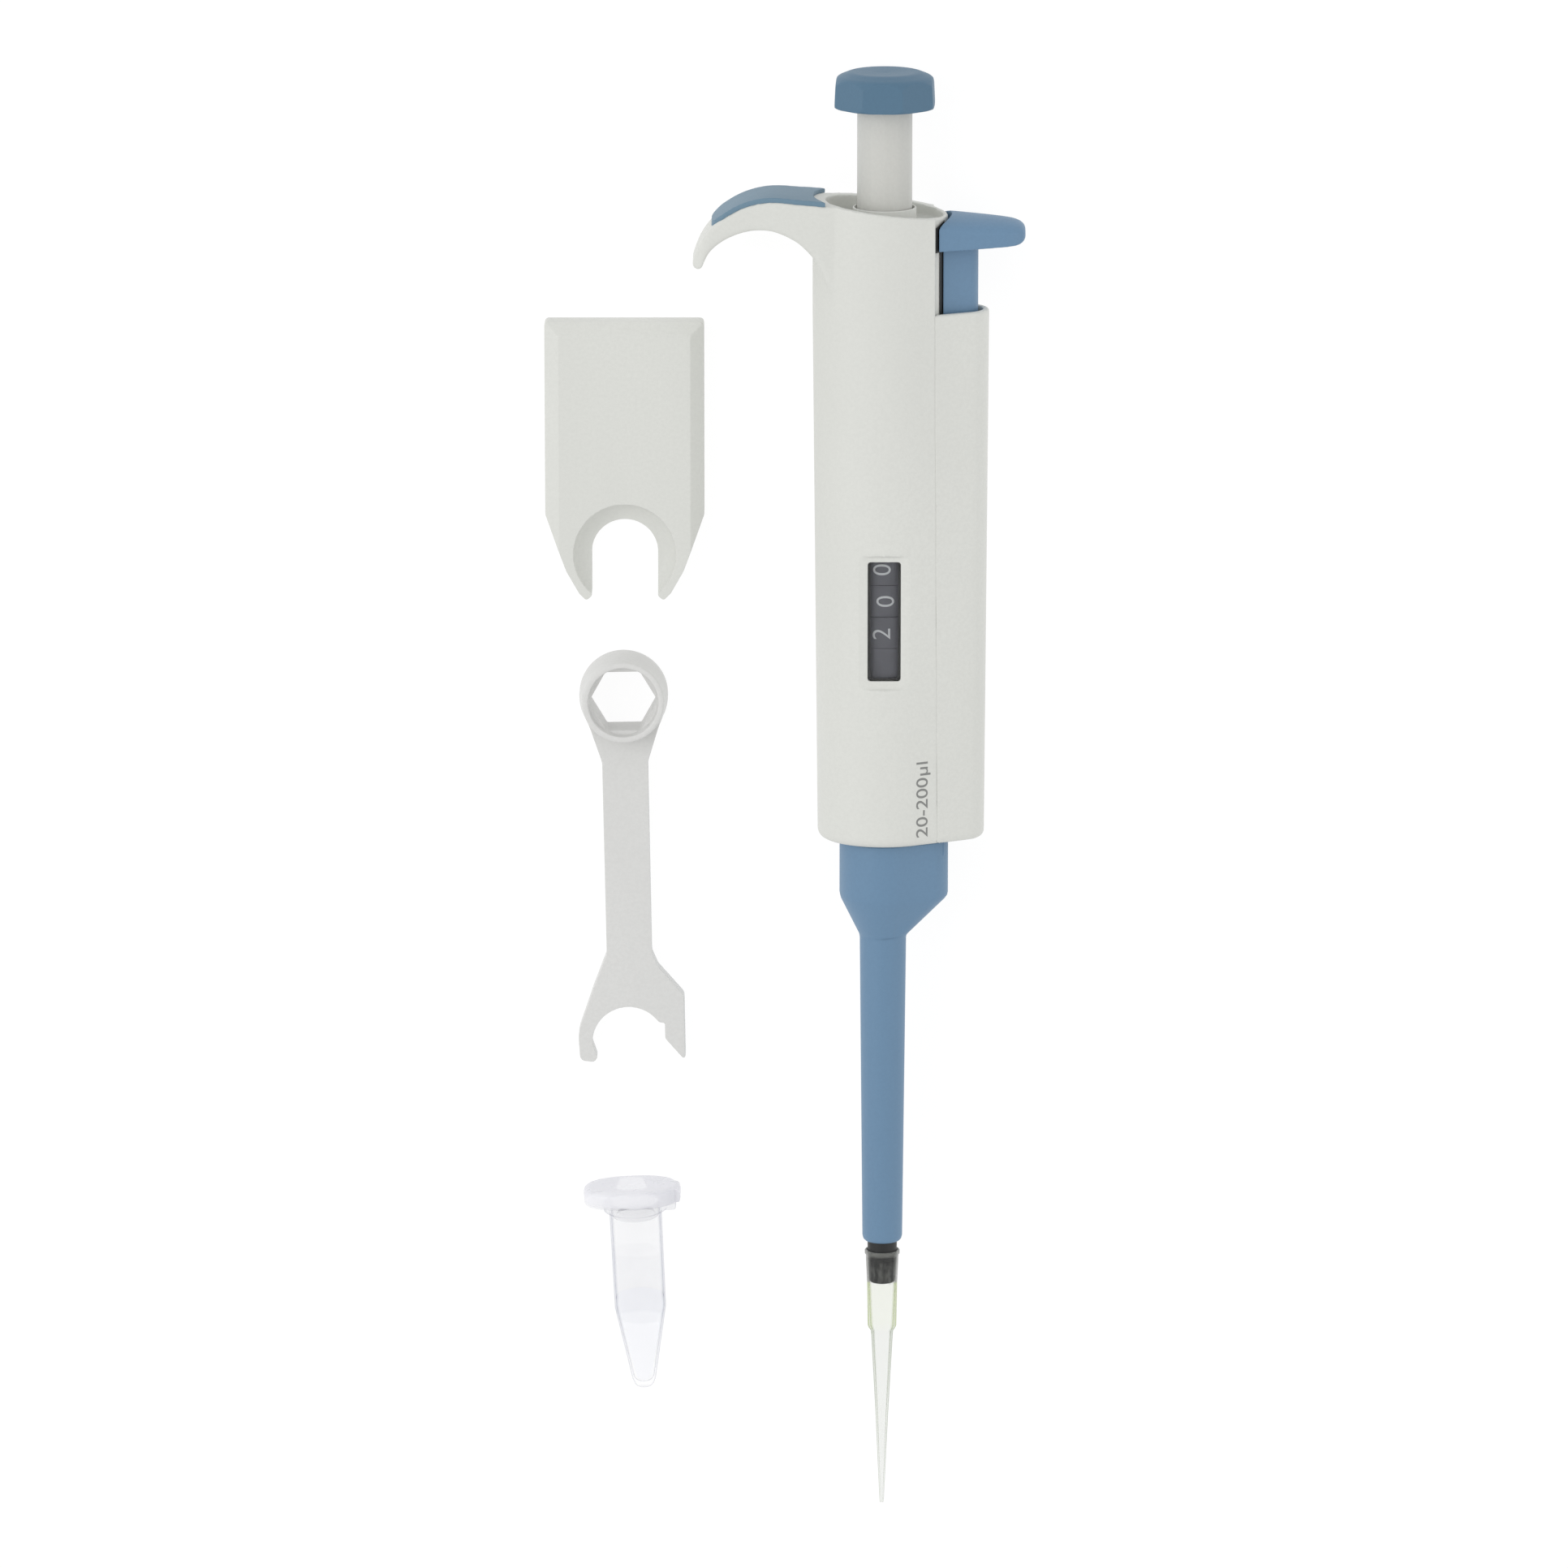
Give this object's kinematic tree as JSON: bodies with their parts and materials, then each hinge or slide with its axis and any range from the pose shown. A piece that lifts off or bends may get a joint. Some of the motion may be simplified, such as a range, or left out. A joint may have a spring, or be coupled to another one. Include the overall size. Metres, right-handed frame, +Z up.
{
  "type": "pipette set",
  "caption": "Adjustable hand pipette with a tip ejector and disposable tip, laid out with its wall holder, opening tool and a small grease tube.",
  "frame": {"origin": "middle of the laid-out set, on the surface it lies on", "axes": "+Y along the pipette's axis towards its push button, +Z up from the surface, +X towards the ejector side of the pipette"},
  "size_m": [0.096, 0.2958, 0.0242],
  "materials": {
    "shell": "fine matte moulded plastic, light warm grey",
    "tool": "fine matte moulded plastic, light grey",
    "stem": "satin moulded plastic, light grey",
    "blue": "satin moulded plastic, mid blue",
    "knob_blue": "satin moulded plastic, grey blue",
    "black": "satin black plastic",
    "wheel": "matte dark grey plastic with white digits",
    "clear": "clear polished plastic",
    "tip": "translucent unpigmented polypropylene",
    "tube": "translucent polypropylene",
    "steel": "turned stainless steel",
    "brass": "turned brass",
    "seal": "white sliding seal plastic",
    "rubber": "black seal rubber",
    "tape": "white foam adhesive tape",
    "liner": "waxed release paper",
    "grease": "clear silicone grease"
  },
  "bodies": {
    "pipette_body": {"handle_body": "shell", "ejector_cover": "shell", "hook_pad": "blue", "counter_window": "clear", "calibration_nut": "stem", "mechanism_frame": "black", "counter_blank_ring": "wheel", "pinion_shaft": "steel", "cylinder_nut": "black", "piston_seal": "seal", "seal_ring": "rubber", "seal_retainer": "brass", "tip_cone": "black", "primary_spring": "steel", "blowout_spring": "steel", "ejector_spring": "steel"},
    "plunger": {"piston_cap": "brass", "piston": "steel"},
    "knob": {"push_button": "knob_blue", "plunger_stem": "stem", "drive_shaft": "steel"},
    "counter_drive": {"volume_screw": "brass", "units_wheel": "wheel"},
    "tens_counter": {"tens_wheel": "wheel"},
    "hundreds_counter": {"hundreds_wheel": "wheel"},
    "tens_transfer": {"tens_pinion": "black"},
    "hundreds_transfer": {"hundreds_pinion": "black"},
    "stop_nut": {"volume_stop_nut": "brass"},
    "blowout_stop": {"blowout_ring": "steel"},
    "ejector": {"ejector_button": "blue", "ejector_rod": "steel", "ejector_sleeve": "blue"},
    "tip": {"pipette_tip": "tip"},
    "holder": {"holder_plate": "shell", "holder_tape": "tape", "tape_liner": "liner"},
    "tool": {"opening_tool": "tool"},
    "tube": {"tube_body": "tube", "grease_fill": "grease"},
    "lid": {"tube_lid": "tube"}
  },
  "joints": [
    {"name": "plunger_press", "type": "slide", "parent": "pipette_body", "child": "plunger", "axis": [0, -1, 0], "range_m": [0, 0.018], "stiffness_N_per_m": 250, "springref_m": -0.008, "deforming": ["primary_spring"]},
    {"name": "knob_turn", "type": "hinge", "parent": "plunger", "child": "knob", "pos_m": [0.02, 0.05, 0.0122], "axis": [0, 1, 0], "range_deg": [-6480, 0]},
    {"name": "units_turn", "type": "hinge", "parent": "pipette_body", "child": "counter_drive", "pos_m": [0.02, 0.05, 0.0122], "axis": [0, 1, 0], "range_deg": [-6480, 0]},
    {"name": "tens_turn", "type": "hinge", "parent": "pipette_body", "child": "tens_counter", "pos_m": [0.02, 0.05, 0.0122], "axis": [0, 1, 0], "range_deg": [-648, 0]},
    {"name": "hundreds_turn", "type": "hinge", "parent": "pipette_body", "child": "hundreds_counter", "pos_m": [0.02, 0.05, 0.0122], "axis": [0, 1, 0], "range_deg": [-64.8, 0]},
    {"name": "tens_transfer_turn", "type": "hinge", "parent": "pipette_body", "child": "tens_transfer", "pos_m": [0.00945, 0.0458, 0.0122], "axis": [0, 1, 0], "range_deg": [0, 1620]},
    {"name": "hundreds_transfer_turn", "type": "hinge", "parent": "pipette_body", "child": "hundreds_transfer", "pos_m": [0.00945, 0.0393, 0.0122], "axis": [0, 1, 0], "range_deg": [0, 162]},
    {"name": "stop_nut_travel", "type": "slide", "parent": "pipette_body", "child": "stop_nut", "axis": [0, 1, 0], "range_m": [-0.01351, 0]},
    {"name": "blowout_travel", "type": "slide", "parent": "pipette_body", "child": "blowout_stop", "axis": [0, -1, 0], "range_m": [0, 0.00301], "deforming": ["blowout_spring"]},
    {"name": "ejector_press", "type": "slide", "parent": "pipette_body", "child": "ejector", "axis": [0, -1, 0], "range_m": [0, 0.009], "stiffness_N_per_m": 300, "springref_m": -0.005, "deforming": ["ejector_spring"]},
    {"name": "tip_release", "type": "slide", "parent": "pipette_body", "child": "tip", "axis": [0, -1, 0], "range_m": [0, 0.009]},
    {"name": "holder_lift", "type": "slide", "parent": "pipette_body", "child": "holder", "axis": [0, 0, 1], "range_m": [0, 0.06]},
    {"name": "tool_lift", "type": "slide", "parent": "pipette_body", "child": "tool", "axis": [0, 0, 1], "range_m": [0, 0.06]},
    {"name": "tube_lift", "type": "slide", "parent": "pipette_body", "child": "tube", "axis": [0, 0, 1], "range_m": [0, 0.06]},
    {"name": "lid_hinge", "type": "hinge", "parent": "tube", "child": "lid", "pos_m": [-0.02212, -0.08492, 0.00657], "axis": [-0.0025, 0.054, -0.9985], "range_deg": [0, 150]}
  ],
  "couplings": [
    {"joint": "units_turn", "follows": "knob_turn", "ratio": 1},
    {"joint": "tens_turn", "follows": "knob_turn", "ratio": 0.1},
    {"joint": "hundreds_turn", "follows": "knob_turn", "ratio": 0.01},
    {"joint": "tens_transfer_turn", "follows": "knob_turn", "ratio": -0.25},
    {"joint": "hundreds_transfer_turn", "follows": "knob_turn", "ratio": -0.025},
    {"joint": "stop_nut_travel", "follows": "knob_turn", "m_per_rad": 0.00011937},
    {"joint": "blowout_travel", "follows": "plunger_press", "ratio": 0.16667},
    {"joint": "tip_release", "follows": "ejector_press", "ratio": 1}
  ]
}
